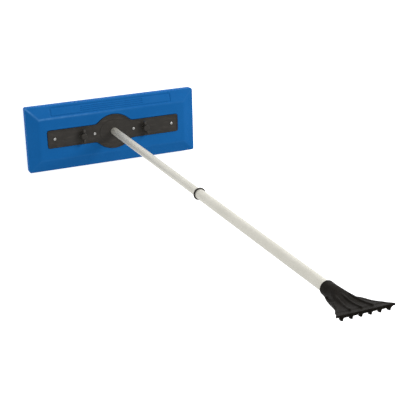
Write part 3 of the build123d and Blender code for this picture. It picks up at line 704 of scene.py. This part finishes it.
def scraper_field(x, y, z):
    """Signed distance, near the surface, of the collar, hump, blade, ridges and teeth."""
    from_edge_y, from_edge_z = y - BLADE_EDGE_Y, z - BLADE_EDGE_Z
    along = from_edge_y * math.sin(BLADE_TILT) + from_edge_z * math.cos(BLADE_TILT)
    above = from_edge_y * math.cos(BLADE_TILT) - from_edge_z * math.sin(BLADE_TILT)
    side = np.abs(x) - FLARE(np.clip(along, FLARE_ALONG[0], 0.0))

    # The blade with its skirt, and the comb with its teeth.
    blade = round_both(side, along, BLADE_CORNER_R)
    blade = round_both(blade, between(above, -BLADE_THICKNESS, 0.0), BLADE_EDGE_R)
    deep = smooth_step(-along, *SKIRT_DEEPENS) * (1 - smooth_step(-along, *SKIRT_FADES))
    skirt_low = SKIRT_FRONT_LOW + (SKIRT_LOW - SKIRT_FRONT_LOW) * deep
    skirt_height = between(above, skirt_low, RIM_HIGH)
    skirt = round_both(between(side, -SKIRT_WIDTH, 0.0), skirt_height, SKIRT_EDGE_R)
    skirt = round_both(skirt, along, SKIRT_END_R)
    corner = smooth_step(np.abs(x), CORNER_START, FLARE_HALF_WIDTH[-1])
    comb_low = COMB_LOW - (COMB_LOW + COMB_CORNER_DEPTH) * corner
    comb = round_both(side, between(above, comb_low, COMB_HIGH), COMB_CORNER_R)
    comb = round_both(comb, between(along, -COMB_THICKNESS, 0.0), COMB_EDGE_R)
    last_tooth = (TEETH - 1) / 2
    nearest = np.clip(np.round(x / TOOTH_PITCH - 0.5) + 0.5, -last_tooth, last_tooth)
    widening = TOOTH_SPREAD * (above + TOOTH_REACH)
    beside = np.abs(x - nearest * TOOTH_PITCH) - TOOTH_TIP_HALF - widening
    tooth_height = between(above, -TOOTH_REACH, TOOTH_ROOT)
    tooth = round_both(between(along, -TOOTH_THICKNESS, 0.0), tooth_height, TOOTH_EDGE_R)
    tooth = round_both(tooth, beside, TOOTH_SIDE_R)
    toothed_comb = soft_min(comb, tooth, TOOTH_BLEND)
    flat = soft_min(toothed_comb, soft_min(blade, skirt, SKIRT_BLEND), COMB_BLEND)

    # The hump, where the round collar runs into the flat blade.
    share = np.clip((z - HUMP_START_Z) / (HUMP_END_Z - HUMP_START_Z), 0.0, 1.0)
    blade_y = BLADE_EDGE_Y + from_edge_z * math.tan(BLADE_TILT)
    ease = smooth_step(share, 0.0, 1.0)
    under = smooth_step(share, 0.0, HUMP_UNDERSIDE_SHARE)
    top = COLLAR_R * (1 - ease) + (blade_y - HUMP_SINK) * ease
    bottom = -COLLAR_R * (1 - under) + (blade_y - BLADE_THICKNESS) * under
    half_height = np.maximum((top - bottom) / 2, HUMP_MIN_HALF_HEIGHT)
    half_width = COLLAR_R + HUMP_SPREAD * ease
    power = ROUND_POWER + HUMP_BOXINESS * smooth_step(share, 0.0, HUMP_BOXY_SHARE)
    across, upright = np.abs(x) / half_width, np.abs(y - (top + bottom) / 2) / half_height
    hump = (across**power + upright**power) ** (1 / power) - 1.0
    hump = hump * np.minimum(half_height, half_width)
    hump = round_both(hump, between(z, COLLAR_Z, HUMP_END_Z), COLLAR_RIM_R)
    blend = HUMP_BLEND * smooth_step(share, 0.0, HUMP_BLEND_SHARE) + COLLAR_BLEND
    body = soft_min(flat, hump, blend)

    # The three ridges on the blade's upper face.
    back = np.clip((along - RIDGE_END) / (RIDGE_START - RIDGE_END), 0.0, 1.0)
    path = RIDGE_TIP_X + (RIDGE_ROOT_X - RIDGE_TIP_X) * back
    off_path = np.minimum(np.abs(x), np.abs(np.abs(x) - path))
    ridge = 1 - smooth_step(off_path, RIDGE_TOP_HALF, RIDGE_FOOT_HALF)
    ridge = ridge * smooth_step(along, RIDGE_START, RIDGE_START + RIDGE_ROOT_FADE)
    ridge = ridge * (1 - smooth_step(along, RIDGE_END - RIDGE_TIP_FADE, RIDGE_END))
    body = body - RIDGE_HEIGHT * ridge * smooth_step(above, -RIDGE_BELOW_FACE, 0.0)

    # The socket for the tube, and the recess for the screw.
    socket = np.maximum(np.hypot(x, y) - SOCKET_R, z - SOCKET_END_Z)
    sink = np.maximum(np.hypot(x, z - SCREW_Z) - SCREW_SINK_R, y - SCREW_SINK_Y)
    return np.maximum(body, -np.minimum(socket, sink))


def skin_of(name, shape, low, high, step):
    """Mesh piece of the surface where shape is zero, cut off at the box from low to high.

    Each grid cell that the surface crosses gets one vertex, at the mean of its edges' crossings.
    """
    lines = [np.arange(begin - step, end + 2 * step, step) for begin, end in zip(low, high)]
    places = np.meshgrid(*lines, indexing="ij", sparse=True)
    field = shape(*places)
    for place, begin, end in zip(places, low, high):
        field = np.maximum(field, np.maximum(begin - place, place - end))
    inside = field < 0
    cell_shape = [size - 1 for size in field.shape]
    corners = [(i, j, k) for i in (0, 1) for j in (0, 1) for k in (0, 1)]
    filled = sum(
        inside[i : i + cell_shape[0], j : j + cell_shape[1], k : k + cell_shape[2]].astype(int)
        for i, j, k in corners
    )
    cell = np.argwhere((filled > 0) & (filled < len(corners)))
    number = np.full(cell_shape, -1)
    number[tuple(cell.T)] = np.arange(len(cell))
    total, crossings = np.zeros((len(cell), 3)), np.zeros((len(cell), 1))
    for axis in range(3):
        ahead = np.eye(3, dtype=int)[axis]
        for corner in corners:
            if corner[axis] == 0:
                near = cell + corner
                first, second = field[tuple(near.T)], field[tuple((near + ahead).T)]
                crossed = ((first < 0) != (second < 0))[:, None]
                change = np.where(crossed[:, 0], first - second, 1.0)
                reach = np.where(crossed[:, 0], first / change, 0.0)
                total += crossed * (near + reach[:, None] * ahead)
                crossings += crossed
    origin = np.array([line[0] for line in lines])
    points = origin + step * total / crossings
    faces = []
    for axis in range(3):
        ahead = np.eye(3, dtype=int)[axis]
        first = np.eye(3, dtype=int)[(axis + 1) % 3]
        second = np.eye(3, dtype=int)[(axis + 2) % 3]
        low_side = inside[tuple(slice(0, size - skip) for skip, size in zip(ahead, inside.shape))]
        high_side = inside[tuple(slice(skip, size) for skip, size in zip(ahead, inside.shape))]
        for leaving in (True, False):
            changed = low_side & ~high_side if leaving else ~low_side & high_side
            edge = np.argwhere(changed)
            loop = [edge - first - second, edge - second, edge, edge - first]
            quad = np.stack([number[tuple(place.T)] for place in loop], axis=1)
            faces.append(quad if leaving else quad[:, ::-1])
    return mesh_piece(name, points, np.concatenate(faces))


# ---- putting the parts together
def finish_cad_nodes():
    """Gives each carried-over CAD node the procedural material of its slot."""
    for part in frame["record"]["subparts"]:
        node = frame["nodes"][part["node"]]
        for slot in node.material_slots:
            slot.material = SLOT_MATERIALS[part["material_slot"]]


def make_camera():
    """Camera at the product view: above the scraper, looking down the pole to the head's back."""
    lens = bpy.data.cameras.new("camera")
    lens.lens = CAMERA_LENS_MM
    lens.clip_end = CAMERA_CLIP_END
    camera = bpy.data.objects.new("camera", lens)
    back = (CAMERA_PLACE - CAMERA_TARGET).normalized()
    right = CAMERA_UP.cross(back).normalized()
    turn = Matrix((right, back.cross(right), back)).transposed()
    camera.matrix_world = Matrix.Translation(CAMERA_PLACE) @ turn.to_4x4()
    bpy.context.scene.collection.objects.link(camera)
    bpy.context.scene.camera = camera


def make_softbox(name, place, aim, size, watts):
    """Square area light at place, turned to aim."""
    lamp = bpy.data.lights.new(name, "AREA")
    lamp.size = size
    lamp.energy = watts
    light = bpy.data.objects.new(name, lamp)
    light.location = place
    light.rotation_euler = (Vector(aim) - Vector(place)).to_track_quat("-Z", "Y").to_euler()
    bpy.context.scene.collection.objects.link(light)


def make_backdrop():
    """Pale dome round the floor. Only the camera sees it, so it changes no light on the object."""
    turns = np.linspace(0.0, 2 * math.pi, BACKDROP_COLUMNS, endpoint=False)
    rises = np.linspace(0.0, BACKDROP_TOP_ANGLE, BACKDROP_ROWS)
    rings = []
    for rise in rises:
        x, y = np.cos(rise) * np.cos(turns), np.cos(rise) * np.sin(turns)
        rings.append(np.stack([x, y, np.full_like(turns, np.sin(rise))], 1))
    loops = np.arange(BACKDROP_ROWS * BACKDROP_COLUMNS).reshape(BACKDROP_ROWS, BACKDROP_COLUMNS)
    faces = [band_faces(upper, lower) for lower, upper in zip(loops[:-1], loops[1:])]
    points = BACKDROP_R * np.concatenate(rings) + np.array([[0.0, 0.0, -FLOOR_GAP]])
    dome = mesh_piece("backdrop", points, np.concatenate(faces))
    dome.visible_diffuse = dome.visible_glossy = dome.visible_shadow = False
    return dome


def make_studio():
    """Pale floor, even surrounding light and two softboxes."""
    corners = [(-FLOOR_HALF_SIZE, -FLOOR_HALF_SIZE), (FLOOR_HALF_SIZE, -FLOOR_HALF_SIZE)]
    corners += [(FLOOR_HALF_SIZE, FLOOR_HALF_SIZE), (-FLOOR_HALF_SIZE, FLOOR_HALF_SIZE)]
    points = np.array([(x, y, -FLOOR_GAP) for x, y in corners])
    floor = mesh_piece("floor", points, np.array([[0, 1, 2, 3]]))
    pale = floor_material()
    backdrop = make_backdrop()
    for stage in (floor, backdrop):
        stage.data.materials.append(pale)
        stage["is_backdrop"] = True
    world = bpy.data.worlds.new("studio")
    world.use_nodes = True
    background = world.node_tree.nodes["Background"]
    background.inputs["Color"].default_value = WHITE
    background.inputs["Strength"].default_value = WORLD_LIGHT
    bpy.context.scene.world = world
    bpy.context.scene.view_settings.view_transform = "Standard"
    make_softbox("key", KEY_PLACE, (0.0, 0.0, 0.0), KEY_SIZE, KEY_WATTS)
    make_softbox("fill", FILL_PLACE, (0.0, 0.0, 0.0), FILL_SIZE, FILL_WATTS)


def write_size():
    """Works out the CAD box and the visual model's box."""
    boxes = {"cad": CAD_BOX, "visual": [list(corner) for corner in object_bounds()]}
    boxes = {name: [list(map(float, corner)) for corner in box] for name, box in boxes.items()}


make_camera()
make_studio()
finish_cad_nodes()

foam = make_foam()
foam.data.materials.append(SLOT_MATERIALS["foam"])
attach(foam, "head")
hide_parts("foam_head")

scraper = skin_of("scraper_blade", scraper_field, *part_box("ice_scraper"), SCRAPER_STEP)
scraper.data.materials.append(SLOT_MATERIALS["scraper_plastic"])
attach(scraper, "outer_pole")
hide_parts("ice_scraper")

write_size()
